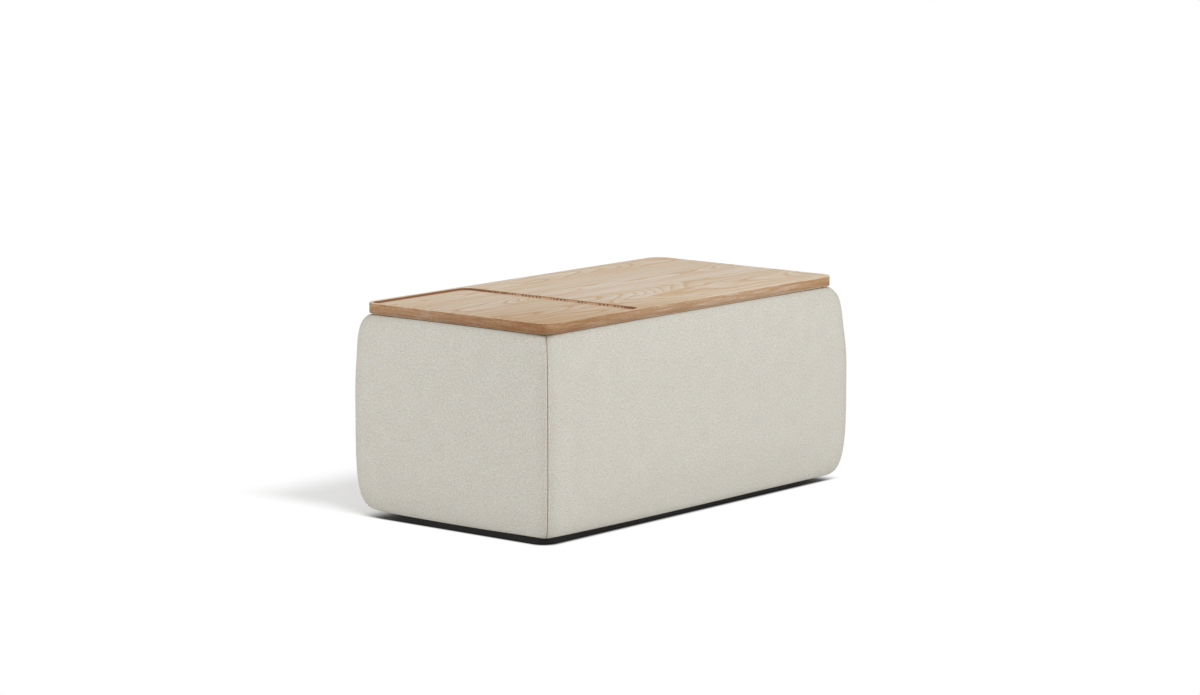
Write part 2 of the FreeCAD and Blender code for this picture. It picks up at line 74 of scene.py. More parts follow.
# The corners at the two ends of each side, from left to right as one faces it
SIDE_ENDS = {
    "front": ("front left", "front right"),
    "right": ("front right", "back right"),
    "back": ("back right", "back left"),
    "left": ("back left", "front left"),
}
# How far the cloth swells up towards the lid in the middle of a side
TOP_SWELL = {"front": 0.0022, "right": 0.0018, "back": 0.0, "left": 0.0018}
# How far the foot of a side is drawn up in its middle
FOOT_RISE = {"front": 0.0020, "right": 0.0020, "back": 0.0020, "left": 0.0032}
# A corner: how far its foot is drawn up, how far its foam stands out at mid height and at the shoulder,
# and the depth of the notch at its seam's top
Corner = namedtuple("Corner", "lift stand shoulder notch")
CORNERS = {
    "front left": Corner(lift=0.0028, stand=0.0, shoulder=0.0, notch=0.0060),
    "front right": Corner(lift=0.0012, stand=0.0105, shoulder=0.0068, notch=0.0036),
    "back right": Corner(lift=0.0050, stand=0.0030, shoulder=0.0020, notch=0.0020),
    "back left": Corner(lift=0.0052, stand=0.0030, shoulder=0.0060, notch=0.0010),
}
# Where along a side, from 0 at its middle to 1 at its corner, a corner begins to stand out
STAND_START = 0.3
SHOULDER_START = 0.6
# The height where a corner stops standing out, the height where its shoulder begins, and the blend at each
STAND_TOP = 0.40
STAND_BLEND = 0.16
SHOULDER_FOOT = 0.31
SHOULDER_BLEND = 0.08
# Above UPPER_PART lies a side's top. It swells from CREST_FOOT on, and less and less inwards of CREST_DEPTH
UPPER_PART = 0.3
CREST_FOOT = 0.375
CREST_BLEND = 0.018
CREST_DEPTH = 0.022
# Above the foot, how high its rise and the dip at its seams reach
FOOT_BLEND = 0.05
FOOT_DIP_BLEND = 0.02
# The roll of the cloth into a seam: its radius, where it begins, its steps, the cloth left inside,
# and half the gap between two panels
SEAM_RADIUS = 0.0019
SEAM_REACH = 0.0065
SEAM_ROLL_STEPS = 6
SEAM_ALLOWANCE = 0.005
SEAM_HALF_GAP = 0.0003
# How far the cloth dips to the seams, at a side's face and at its foot, and how far from a seam this reaches
SEAM_PULL = 0.0036
SEAM_FOOT_DIP = 0.0024
PULL_WIDTH = 0.030
DIP_WIDTH = 0.010
# The settling of the cloth: frames, pressure, the furthest that a point moves, and the band held at a seam
SETTLE_FRAMES = 20
SETTLE_PRESSURE = 4.0
SETTLE_CAP = 0.0025
HELD_BAND = 0.02
HELD_BLEND = 0.10
# Spacing of the points along a side
CLOTH_STEP = 0.010
FOAM_STEP = 0.03
# Edges that bend more than this stay sharp
SHARP_DEGREES = 42
# The light from all round, which the camera sees as white
SKY_STRENGTH = 0.60


# Finishes

class Channel:
    """A number, colour or vector between the nodes of a finish. Maths on numbers adds Math nodes."""

    def __init__(self, finish, socket):
        self.finish = finish
        self.socket = socket

    def maths(self, operation, *others):
        return self.finish.add("ShaderNodeMath", {"operation": operation}, dict(enumerate((self, *others))))

    def flipped(self, operation, other):
        return self.finish.add("ShaderNodeMath", {"operation": operation}, {0: other, 1: self})

    def wave(self, spacing):
        """A sine wave that changes its sign at each multiple of the spacing."""
        return (self / spacing * math.pi).maths("SINE")

    def hypot(self, other):
        """The length of the long side of a right triangle with these two short sides."""
        return (self * self + other * other).maths("SQRT")

    def __add__(self, other):
        return self.maths("ADD", other)

    def __radd__(self, other):
        return self.flipped("ADD", other)

    def __sub__(self, other):
        return self.maths("SUBTRACT", other)

    def __rsub__(self, other):
        return self.flipped("SUBTRACT", other)

    def __mul__(self, other):
        return self.maths("MULTIPLY", other)

    def __rmul__(self, other):
        return self.flipped("MULTIPLY", other)

    def __truediv__(self, other):
        return self.maths("DIVIDE", other)

    def __pow__(self, other):
        return self.maths("POWER", other)

    def __abs__(self):
        return self.maths("ABSOLUTE")

    def __gt__(self, other):
        return self.maths("GREATER_THAN", other)

    def __lt__(self, other):
        return self.maths("LESS_THAN", other)


class Finish:
    """A material, or the sky, built from nodes that are added one at a time."""

    def __init__(self, name, holder=None):
        self.material = holder or bpy.data.materials.new(name)
        self.material.use_nodes = True
        self.tree = self.material.node_tree
        self.tree.nodes.clear()

    def add(self, kind, settings, sockets, output=0):
        """Adds a node: its settings first, then the values or links of its sockets."""
        node = self.tree.nodes.new(kind)
        for name, setting in settings.items():
            if name == "stops":
                set_stops(node.color_ramp, setting)
            else:
                setattr(node, name, setting)
        for name, value in sockets.items():
            if isinstance(value, Channel):
                self.tree.links.new(value.socket, node.inputs[name])
            else:
                node.inputs[name].default_value = value
        return Channel(self, node.outputs[output])

    def place(self):
        """A point's place on its piece, in metres."""
        return self.add("ShaderNodeTexCoord", {}, {}, "Object")

    def attribute(self, name):
        return self.add("ShaderNodeAttribute", {"attribute_name": name}, {}, "Vector")

    def split(self, vector):
        return [self.add("ShaderNodeSeparateXYZ", {}, {0: vector}, axis) for axis in "XYZ"]

    def vector(self, x, y, z):
        return self.add("ShaderNodeCombineXYZ", {}, {0: x, 1: y, 2: z})

    def noise(self, vector, scale, detail, roughness=0.5):
        sockets = {"Vector": vector, "Scale": scale, "Detail": detail, "Roughness": roughness}
        return self.add("ShaderNodeTexNoise", {}, sockets)

    def long_noise(self, vector, scales, detail, roughness=0.5):
        """Noise with a scale of its own along each axis."""
        stretched = self.add("ShaderNodeVectorMath", {"operation": "MULTIPLY"}, {0: vector, 1: scales})
        return self.noise(stretched, 1.0, detail, roughness)

    def between(self, value, low, high, start=0.0, end=1.0):
        """Start below low, end above high, and a smooth change between them."""
        sockets = {"Value": value, "From Min": low, "From Max": high, "To Min": start, "To Max": end}
        return self.add("ShaderNodeMapRange", {"interpolation_type": "SMOOTHSTEP"}, sockets)

    def mix(self, factor, first, second, blend="MIX"):
        settings = {"data_type": "RGBA", "blend_type": blend, "clamp_factor": True}
        return self.add("ShaderNodeMix", settings, {0: factor, 6: opaque(first), 7: opaque(second)}, 2)

    def ramp(self, value, stops):
        return self.add("ShaderNodeValToRGB", {"stops": stops}, {0: value})

    def tinted(self, colour, tint, share=1.0):
        """The colour times a tint, as far as share says."""
        return self.mix(share, colour, tint, "MULTIPLY")

    def bump(self, height, distance, strength):
        sockets = {"Strength": strength, "Distance": distance, "Height": height}
        return self.add("ShaderNodeBump", {}, sockets)

    def normal(self):
        """The way the surface faces, in the piece's own frame."""
        return self.split(self.add("ShaderNodeTexCoord", {}, {}, "Normal"))

    def skin(self, sockets):
        """The surface itself, from the sockets of a Principled shader."""
        shader = self.add("ShaderNodeBsdfPrincipled", {}, sockets)
        self.add_output(shader)
        return self

    def add_output(self, shader, kind="ShaderNodeOutputMaterial"):
        node = self.tree.nodes.new(kind)
        self.tree.links.new(shader.socket, node.inputs["Surface"])


def opaque(colour):
    return colour if isinstance(colour, Channel) else (*colour, 1.0)


def set_stops(ramp, stops):
    while len(ramp.elements) < len(stops):
        ramp.elements.new(1.0)
    for element, (position, colour) in zip(ramp.elements, stops):
        element.position = position
        element.color = opaque(colour)


def upholstery_cloth():
    """Pale wool cloth in a plain weave, of flecked yarn."""
    cloth = Finish("upholstery_cloth")
    grain = cloth.attribute("cloth_grain")
    along, up, _ = cloth.split(grain)
    yarn = 0.0016
    sway = (cloth.noise(grain, 90.0, 2.0) - 0.5) * (yarn * 0.5)
    crossing = (along + sway).wave(yarn) * (up + sway).wave(yarn)
    over = crossing > 0.0
    warp_fleck = cloth.long_noise(grain, (620.0, 130.0, 1.0), 2.0, 0.6)
    weft_fleck = cloth.long_noise(grain, (130.0, 620.0, 1.0), 2.0, 0.6)
    fleck = over * warp_fleck + (1.0 - over) * weft_fleck
    tuft = cloth.noise(grain, 300.0, 3.0, 0.6)
    cloud = cloth.noise(grain, 28.0, 2.0)
    tone = fleck * 0.45 + tuft * 0.48 + cloud * 0.07
    colour = cloth.ramp(
        tone,
        [
            (0.28, (0.430, 0.405, 0.338)),
            (0.47, (0.612, 0.590, 0.520)),
            (0.56, (0.690, 0.670, 0.604)),
            (0.72, (0.820, 0.808, 0.758)),
        ],
    )
    warmth = cloth.between(cloth.noise(grain, 430.0, 2.0), 0.36, 0.64)
    colour = cloth.tinted(colour, cloth.mix(warmth, (0.970, 1.0, 1.050), (1.030, 1.0, 0.950)))
    # Painted shade in the hollows between the crossing yarns
    weave_hollow_shade = 1.0 - abs(crossing) ** 0.5
    colour = cloth.tinted(colour, (0.74, 0.72, 0.68), weave_hollow_shade * 0.35)
    # Painted shade: the cloth is a little darker toward its seams, and darker and warmer in the crease of
    # each seam
    from_seam = cloth.split(cloth.attribute("from_seam"))[0]
    seam_shade = cloth.between(from_seam, 0.006, 0.045, 1.0, 0.0)
    colour = cloth.tinted(colour, (0.945, 0.938, 0.925), seam_shade * seam_shade)
    crease_shade = cloth.between(from_seam, SEAM_ALLOWANCE, 0.0085, 1.0, 0.0)
    colour = cloth.tinted(colour, (0.99, 0.93, 0.84), crease_shade)
    fuzz = cloth.noise(grain, 900.0, 2.0)
    height = abs(crossing) ** 0.5 * 0.7 + fuzz * 0.3 + tuft * 0.5
    sockets = {
        "Base Color": colour,
        "Roughness": 0.93,
        "Specular IOR Level": 0.15,
        "Sheen Weight": 0.12,
        "Sheen Roughness": 0.6,
        "Normal": cloth.bump(height, 0.00055, 0.8),
    }
    return cloth.skin(sockets)


def oak():
    """Oiled oak of glued staves: rings cut by the surface, pores, streaks, and end grain on cut walls, which
    also carry painted shade and a painted glow.
    """
    # A hair under the board's underside, half its width, and how its staves were sawn
    board_foot = 0.3995
    board_half = 0.228
    stave_width = 0.114
    pith_height = 0.365
    ring_spacing = 0.0072
    wood = Finish("oak")
    place = wood.place()
    x, y, z = wood.split(place)
    # The battens under the board are sawn along their own length
    sawn = wood.mix(z < board_foot, place, wood.vector(y, x, z))
    along, breadth, _ = wood.split(sawn)
    stave = ((breadth + board_half) / stave_width).maths("FLOOR")
    luck = wood.add("ShaderNodeTexWhiteNoise", {"noise_dimensions": "1D"}, {"W": stave + 5.3}, "Color")
    first, second, third = wood.split(luck)
    shift = wood.vector(second * 9.0, third * 7.0, stave * 3.1)
    there = wood.add("ShaderNodeVectorMath", {"operation": "ADD"}, {0: sawn, 1: shift})
    bend = wood.long_noise(there, (2.6, 7.0, 7.0), 1.5, 0.45) - 0.5
    wobble = wood.long_noise(there, (14.0, 60.0, 60.0), 2.0, 0.5) - 0.5
    across = breadth - (stave + 0.5) * stave_width + board_half + (first - 0.5) * 0.07
    down = z - pith_height + (second - 0.5) * 0.02
    from_pith = across.hypot(down)
    slope = (third - 0.5) * 0.16
    rings = (from_pith + along * slope + bend * 0.085 + wobble * 0.004) / ring_spacing
    year = rings.maths("FRACT")
    spring_wood = wood.between(year, 0.08, 0.42, 1.0, 0.0) * wood.between(year, 0.0, 0.08)
    summer_wood = wood.between(year, 0.62, 0.84) * wood.between(year, 0.90, 1.0, 1.0, 0.0)
    streak = wood.long_noise(there, (3.2, 150.0, 150.0), 3.0, 0.6)
    broad = wood.long_noise(there, (1.6, 16.0, 16.0), 2.0, 0.5)
    pore_field = wood.long_noise(there, (55.0, 1500.0, 1500.0), 2.0, 0.6)
    pores = wood.between(pore_field, 0.56, 0.68) * (0.25 + spring_wood * 0.75)

    # On the sides of the board the rings show less, and on its ends as a fine speckle
    nx, _, nz = wood.normal()
    face_up = wood.between(abs(nz), 0.12, 0.45)
    sides = 1.0 - face_up
    speckle = wood.long_noise(place, (420.0, 420.0, 420.0), 2.0, 0.7)
    layers = wood.long_noise(place, (20.0, 20.0, 330.0), 3.0, 0.6)
    tone = streak * 0.55 + broad * 0.45 + sides * (speckle * 0.7 + layers * 1.4 - 0.94)
    colour = wood.ramp(
        tone,
        [
            (0.36, (0.793, 0.696, 0.576)),
            (0.50, (0.719, 0.572, 0.395)),
            (0.64, (0.646, 0.462, 0.274)),
            (0.90, (0.551, 0.366, 0.204)),
        ],
    )
    tint = wood.mix(0.5 + (first - 0.5) * 0.8, (1.065, 1.065, 1.12), (1.015, 1.055, 1.16))
    colour = wood.tinted(colour, tint)
    colour = wood.mix(summer_wood * face_up * 0.36, colour, (0.830, 0.750, 0.630))
    colour = wood.mix(spring_wood * (0.10 + face_up * 0.46), colour, (0.600, 0.340, 0.120))
    colour = wood.mix(pores * 0.22, colour, (0.360, 0.200, 0.100))
    # The sides are darker, most of all to the right and on the ends; along their lower border a painted shade
    # darkens them further
    colour = wood.tinted(colour, (0.665, 0.595, 0.55), sides)
    colour = wood.tinted(colour, (0.90, 0.80, 0.66), sides * wood.between(x, 0.05, 0.40))
    colour = wood.tinted(colour, (0.76, 0.74, 0.72), sides * wood.between(z, 0.402, 0.412, 0.9, 0.0))
    colour = wood.tinted(colour, (0.86, 0.76, 0.66), wood.between(abs(nx), 0.5, 0.9))
    # The board is darkest round its front left corner
    from_corner = (x + 0.46).hypot(y + 0.25)
    corner_darkening = wood.between(from_corner, 0.06, 0.56, 1.0, 0.0) * (1.0 - face_up * 0.08)
    colour = wood.tinted(colour, (0.75, 0.62, 0.47), corner_darkening)

    # The tray's cut walls, inside the board's rim: dark end grain and painted shade, and low on the end walls
    # a painted orange glow of light bounced in the corner, broken by the pores of the end grain as short dark
    # bars
    rim_x = 0.4375
    rim_y = 0.2255
    rim_corner = -0.58
    tray_foot = 0.4145
    inside = (abs(x) < rim_x) * (abs(y) < rim_y) * (x + y > rim_corner) * (z > tray_foot) * sides
    waver = wood.long_noise(place, (60.0, 60.0, 9.0), 2.0) - 0.5
    bar_spacing = 0.0044
    bars = wood.between((y + waver * 0.006).wave(bar_spacing), -0.3, 0.3)
    bunches = wood.between(wood.long_noise(place, (0.0, 26.0, 0.0), 1.0), 0.44, 0.52)
    painted_glow = wood.between(z, 0.4176, 0.4188, 1.0, 0.0) * (1.0 - bars * bunches) * (abs(nx) > 0.5)
    painted_glow = painted_glow * wood.between(y + waver * 0.2, 0.09, 0.16, 1.0, 0.0)
    painted_glow = painted_glow * wood.between(y, -0.19, -0.165)
    cut = wood.mix(painted_glow, (0.250, 0.110, 0.050), (0.610, 0.410, 0.260))
    colour = wood.mix(inside, colour, cut)
    sockets = {
        "Base Color": colour,
        "Roughness": wood.between(streak, 0.2, 0.8, 0.60, 0.72) + pores * 0.15,
        "IOR": 1.46,
        "Specular IOR Level": 0.40,
        "Normal": wood.bump(0.5 - pores * 0.5 + streak * 0.15, 0.00012, 0.5),
    }
    return wood.skin(sockets)


def plinth_paint():
    """Matt charcoal paint with the faint stipple of a roller."""
    paint = Finish("plinth_paint")
    place = paint.place()
    stipple = paint.noise(place, 900.0, 2.0)
    patch = paint.noise(place, 14.0, 3.0)
    colour = paint.mix(patch * 0.6 + stipple * 0.4, (0.013, 0.013, 0.0135), (0.027, 0.026, 0.025))
    sockets = {
        "Base Color": colour,
        "Roughness": paint.between(patch, 0.3, 0.7, 0.5, 0.62),
        "Specular IOR Level": 0.12,
        "Normal": paint.bump(stipple, 0.0002, 0.35),
    }
    return paint.skin(sockets)


def woven_lining():
    """Dark grey twill that is glued round the lining boards."""
    twill = Finish("woven_lining")
    place = twill.place()
    x, y, z = twill.split(place)
    yarn = 0.0011
    ribs = (x + y + z).wave(yarn)
    fleck = twill.long_noise(place, (520.0, 520.0, 160.0), 2.0, 0.6)
    wear = twill.noise(place, 11.0, 2.0)
    tone = ribs * 0.14 + fleck * 0.7 + wear * 0.3
    colour = twill.ramp(
        tone,
        [(0.22, (0.060, 0.060, 0.062)), (0.52, (0.115, 0.113, 0.112)), (0.85, (0.200, 0.195, 0.190))],
    )
    sockets = {
        "Base Color": colour,
        "Roughness": 0.9,
        "Specular IOR Level": 0.2,
        "Normal": twill.bump(ribs * 0.5 + fleck * 0.8, 0.0003, 0.7),
    }
    return twill.skin(sockets)


def wool_felt():
    """Pressed grey felt, with fibres that lie every way."""
    felt = Finish("wool_felt")
    place = felt.place()
    swirl = felt.noise(place, 60.0, 3.0)
    fibre = felt.add(
        "ShaderNodeTexNoise",
        {},
        {"Vector": place, "Scale": 420.0, "Detail": 4.0, "Roughness": 0.7, "Distortion": 2.2},
    )
    tone = fibre * 0.75 + swirl * 0.25
    colour = felt.ramp(
        tone,
        [(0.30, (0.105, 0.104, 0.100)), (0.50, (0.190, 0.187, 0.180)), (0.72, (0.330, 0.325, 0.312))],
    )
    sockets = {
        "Base Color": colour,
        "Roughness": 0.95,
        "Specular IOR Level": 0.1,
        "Sheen Weight": 0.15,
        "Sheen Roughness": 0.6,
        "Normal": felt.bump(tone, 0.0006, 0.6),
    }
    return felt.skin(sockets)


def spunbond_cloth():
    """Black spunbond dust cloth with its pattern of bonded dimples."""
    cloth = Finish("spunbond_cloth")
    place = cloth.place()
    x, y, _ = cloth.split(place)
    pitch = 0.0022
    dimple = x.wave(pitch) * y.wave(pitch)
    fibre = cloth.noise(place, 500.0, 3.0, 0.7)
    colour = cloth.mix(fibre, (0.010, 0.010, 0.011), (0.040, 0.040, 0.042))
    sockets = {
        "Base Color": colour,
        "Roughness": 0.85,
        "Normal": cloth.bump(dimple * 0.5 + fibre, 0.0003, 0.6),
    }
    return cloth.skin(sockets)


def birch_plywood():
    """Birch plywood: pale faces with long grain, and the plies' stripes on its edges."""
    panel = Finish("birch_plywood")
    place = panel.place()
    grain = panel.long_noise(place, (5.0, 90.0, 60.0), 4.0, 0.6)
    cloud = panel.noise(place, 9.0, 2.0)
    face = panel.ramp(
        grain * 0.7 + cloud * 0.3,
        [(0.30, (0.520, 0.400, 0.265)), (0.55, (0.640, 0.515, 0.365)), (0.80, (0.710, 0.590, 0.440))],
    )
    x, y, z = panel.split(place)
    ply = 0.00136
    stripes = (x + y + z).wave(ply)
    _, _, nz = panel.normal()
    edge = panel.between(abs(nz), 0.5, 0.9)
    colour = panel.tinted(face, (0.55, 0.45, 0.36), edge * panel.between(stripes, -0.3, 0.3) * 0.5)
    sockets = {
        "Base Color": colour,
        "Roughness": panel.between(grain, 0.3, 0.7, 0.55, 0.7),
        "Normal": panel.bump(grain, 0.0002, 0.4),
    }
    return panel.skin(sockets)


def cream_foam():
    """Open-cell upholstery foam."""
    foam = Finish("cream_foam")
    place = foam.place()
    cells = foam.add("ShaderNodeTexVoronoi", {}, {"Vector": place, "Scale": 700.0})
    cloud = foam.noise(place, 20.0, 2.0)
    colour = foam.mix(cells * 0.7 + cloud * 0.3, (0.62, 0.54, 0.34), (0.82, 0.76, 0.58))
    return foam.skin({"Base Color": colour, "Roughness": 0.9, "Normal": foam.bump(cells, 0.0006, 0.7)})


def hinge_enamel():
    """Black satin stoved enamel on pressed steel."""
    enamel = Finish("hinge_enamel")
    place = enamel.place()
    peel = enamel.noise(place, 700.0, 2.0)
    rub = enamel.long_noise(place, (40.0, 160.0, 160.0), 3.0)
    colour = enamel.mix(rub, (0.016, 0.016, 0.017), (0.034, 0.033, 0.032))
    sockets = {
        "Base Color": colour,
        "Metallic": 0.4,
        "Roughness": enamel.between(rub, 0.3, 0.7, 0.32, 0.46),
        "Normal": enamel.bump(peel, 0.00012, 0.3),
    }
    return enamel.skin(sockets)


def zinc_steel():
    """Zinc-plated screw steel with fine turning marks."""
    steel = Finish("zinc_steel")
    place = steel.place()
    marks = steel.long_noise(place, (900.0, 900.0, 2600.0), 2.0, 0.6)
    bloom = steel.noise(place, 240.0, 2.0)
    colour = steel.mix(bloom, (0.46, 0.46, 0.45), (0.62, 0.61, 0.58))
    sockets = {
        "Base Color": colour,
        "Metallic": 1.0,
        "Roughness": steel.between(marks, 0.3, 0.7, 0.24, 0.42),
        "Normal": steel.bump(marks, 0.00005, 0.4),
    }
    return steel.skin(sockets)


def glide_plastic():
    """Black moulded polyethylene with a fine spark texture."""
    plastic = Finish("glide_plastic")
    place = plastic.place()
    spark = plastic.noise(place, 1300.0, 2.0)
    scuff = plastic.long_noise(place, (30.0, 300.0, 30.0), 3.0)
    colour = plastic.mix(scuff, (0.014, 0.014, 0.015), (0.034, 0.034, 0.035))
    sockets = {
        "Base Color": colour,
        "Roughness": plastic.between(scuff, 0.3, 0.7, 0.38, 0.52),
        "Normal": plastic.bump(spark, 0.0001, 0.5),
    }
    return plastic.skin(sockets)


finishes = {
    "cover_cloth": upholstery_cloth(),
    "oak": oak(),
    "plinth_paint": plinth_paint(),
    "lining": woven_lining(),
    "felt": wool_felt(),
    "dust_cloth": spunbond_cloth(),
    "plywood": birch_plywood(),
    "foam": cream_foam(),
    "hinge_steel": hinge_enamel(),
    "screw_steel": zinc_steel(),
    "glide_plastic": glide_plastic(),
}
for subpart in frame["record"]["subparts"]:
    solid = nodes[subpart["node"]]
    solid.data.materials.clear()
    solid.data.materials.append(finishes[subpart["material_slot"]].material)


# Ways to make a piece

def dressed(mesh, slot, body):
    """A new piece with its finish, smooth except at its sharp edges, riding on a body."""
    mesh.shade_smooth()
    mesh.set_sharp_from_angle(angle=math.radians(SHARP_DEGREES))
    mesh.materials.append(finishes[slot].material)
    piece = bpy.data.objects.new(mesh.name, mesh)
    scene.collection.objects.link(piece)
    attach(piece, body)
    return piece


def new_piece(name, points, faces, slot, body):
    """A new piece from its points and faces."""
    mesh = bpy.data.meshes.new(name)
    mesh.from_pydata([tuple(point) for point in points], [], faces)
    mesh.update()
    return dressed(mesh, slot, body)


def grid_faces(rows, columns):
    """Faces of a grid whose points are listed row by row."""
    faces = []
    for row in range(rows - 1):
        for start in range(row * columns, (row + 1) * columns - 1):
            beyond = start + columns
            faces.append((start, beyond, beyond + 1, start + 1))
    return faces


def smooth_step(value):
    """0 below 0, 1 above 1, and a smooth change between them."""
    value = min(max(value, 0.0), 1.0)
    return value * value * (3 - 2 * value)


# Upholstery

def face_profile(top, foot, count):
    """Points (depth, height) down a side's face, on a superellipse, closer together at its top and foot."""
    samples = []
    sample_count = 801
    for turn in np.linspace(math.pi / 2, -math.pi / 2, sample_count):
        rise = math.copysign(math.sqrt(abs(math.sin(turn))), turn)
        samples.append((SIDE_TUCK * (1 - math.cos(turn)), (top + foot) / 2 + rise * (top - foot) / 2))
    samples = np.array(samples)
    steps = np.linalg.norm(np.diff(samples, axis=0), axis=1)
    length = np.concatenate(([0.0], np.cumsum(steps)))
    share = np.linspace(0, 1, count)
    share = 0.5 * share + 0.5 * (0.5 - 0.5 * np.cos(math.pi * share))
    depths = np.interp(share * length[-1], length, samples[:, 0])
    heights = np.interp(share * length[-1], length, samples[:, 1])
    return list(zip(depths, heights))


def cover_profile():
    """Points (depth, height) of the cloth's outer side: up inside the wall, over it, down the face, under."""
    fold = 0.0025
    inside = [(TURN_IN_DEPTH, height) for height in np.linspace(TURN_IN_FOOT, COVER_TOP - fold, 8)]
    over = []
    for turn in np.linspace(0, math.pi / 2, 5)[1:]:
        depth = TURN_IN_DEPTH - fold + fold * math.cos(turn)
        over.append((depth, COVER_TOP - fold + fold * math.sin(turn)))
    ledge = [(depth, COVER_TOP) for depth in np.linspace(TURN_IN_DEPTH - fold, SIDE_TUCK, 6)[1:-1]]
    face = face_profile(COVER_TOP, COVER_FOOT, 72)
    under = [(depth, COVER_FOOT) for depth in np.linspace(SIDE_TUCK, TURN_IN_DEPTH, 6)[1:]]
    return inside + over + ledge + face + under


def cloth_point(side, along, depth, height, inset=0.0, corner_inset=0.0):
    """A point of a side, as if it faced the front. Along is its place between the corners, from -1 to 1."""
    _, run, reach = SIDES[side]
    lift, stand, shoulder, notch = CORNERS[SIDE_ENDS[side][along > 0]]
    middle = 1 - along * along
    soft = 1 - smooth_step((depth - SIDE_TUCK) / (WALL_DEPTH - SIDE_TUCK))
    bow = SIDE_CROWN * middle * soft
    outward = (abs(along) - STAND_START) / (1 - STAND_START)
    stand *= smooth_step(outward) * smooth_step((STAND_TOP - height) / STAND_BLEND)
    outward = (abs(along) - SHOULDER_START) / (1 - SHOULDER_START)
    stand += shoulder * smooth_step(outward) * smooth_step((height - SHOULDER_FOOT) / SHOULDER_BLEND)
    stand /= math.sqrt(2)
    from_seam = (1 - abs(along)) * (run - depth)
    stand = (stand - SEAM_PULL * max(0.0, 1 - from_seam / PULL_WIDTH) ** 2) * soft
    dip = 1 - smooth_step(from_seam / DIP_WIDTH)
    if height > UPPER_PART:
        crest = smooth_step((height - CREST_FOOT) / CREST_BLEND)
        crest *= 1 - smooth_step((depth - CREST_DEPTH) / (WALL_DEPTH - CREST_DEPTH))
        height += (TOP_SWELL[side] * middle - notch * dip) * crest
    else:
        rise = FOOT_RISE[side] + (lift - FOOT_RISE[side]) * abs(along) ** 6
        height += rise * soft * (1 - smooth_step((height - COVER_FOOT) / FOOT_BLEND))
        height += SEAM_FOOT_DIP * dip * soft * (1 - smooth_step((height - COVER_FOOT) / FOOT_DIP_BLEND))
    x = along * (run - corner_inset - depth) + math.copysign(1, along) * stand
    return Vector((x, -(reach - inset - depth + bow + stand), height))


def seam_roll(apex, away, seam, mitre_normal):
    """Points where the cloth rolls in from its face to the mitre, where it is sewn to the next panel."""
    seam = seam.normalized()
    inward = seam.cross(mitre_normal).normalized()
    away = (away - seam * away.dot(seam)).normalized()
    opening = away.angle(inward)
    reach = SEAM_RADIUS / math.tan(opening / 2)
    centre = apex + (away + inward).normalized() * (SEAM_RADIUS / math.sin(opening / 2))
    start = apex + away * reach - centre
    end = apex + inward * reach - centre
    turn = start.angle(end)
    points = []
    for step in range(SEAM_ROLL_STEPS + 1):
        share = step / SEAM_ROLL_STEPS
        first = math.sin((1 - share) * turn) / math.sin(turn)
        second = math.sin(share * turn) / math.sin(turn)
        points.append(centre + start * first + end * second)
    points.append(apex + inward * (reach + SEAM_ALLOWANCE))
    return points


def settle(piece, free):
    """The foam pushes the sewn cloth out for a few frames. Free gives each point's share of that move."""
    count = len(piece.data.vertices)
    before = np.zeros(count * 3)
    piece.data.vertices.foreach_get("co", before)
    sewn = piece.vertex_groups.new(name="sewn")
    for index, share in enumerate(free):
        sewn.add([index], 1 - share, "REPLACE")
    cloth = piece.modifiers.new("foam_push", "CLOTH")
    cloth.settings.use_pressure = True
    cloth.settings.uniform_pressure_force = SETTLE_PRESSURE
    cloth.settings.vertex_group_mass = "sewn"
    cloth.settings.effector_weights.gravity = 0.0
    cloth.settings.quality = 4
    cloth.settings.bending_stiffness = 2.0
    cloth.collision_settings.use_collision = False
    for number in range(1, SETTLE_FRAMES + 1):
        scene.frame_set(number)
    after = np.zeros(count * 3)
    settled = piece.evaluated_get(bpy.context.evaluated_depsgraph_get())
    settled.data.vertices.foreach_get("co", after)
    piece.modifiers.remove(cloth)
    piece.vertex_groups.remove(sewn)
    scene.frame_set(1)
    move = (after - before).reshape(-1, 3)
    length = np.linalg.norm(move, axis=1, keepdims=True)
    allowed = SETTLE_CAP * np.tanh(length / SETTLE_CAP) * np.array(free)[:, None]
    move = move / np.maximum(length, 1e-9) * allowed
    piece.data.vertices.foreach_set("co", (before.reshape(-1, 3) + move).ravel())
    piece.data.update()
    print(piece.name, "settled by up to", round(float(np.linalg.norm(move, axis=1).max()) * 1000, 2), "mm")


def panel_row(side, along, profile, ends, number):
    """One row of a panel's points, from sewn edge to sewn edge, with the corners in ends rolled in."""
    run = SIDES[side][1]
    depth, height = profile[number]
    inner_share = 1 - SEAM_REACH / (run - depth)
    inner = [cloth_point(side, share * inner_share, depth, height) for share in along]
    rolls = {}
    for sign, near in ((-1, inner[0]), (1, inner[-1])):
        apexes = ends[sign]
        apex = apexes[number]
        before = apexes[max(number - 1, 0)]
        after = apexes[min(number + 1, len(apexes) - 1)]
        mitre_normal = Vector((1, sign, 0)).normalized()
        rolls[sign] = seam_roll(apex, near - apex, before - after, mitre_normal)
    return rolls[-1][::-1] + inner + rolls[1]


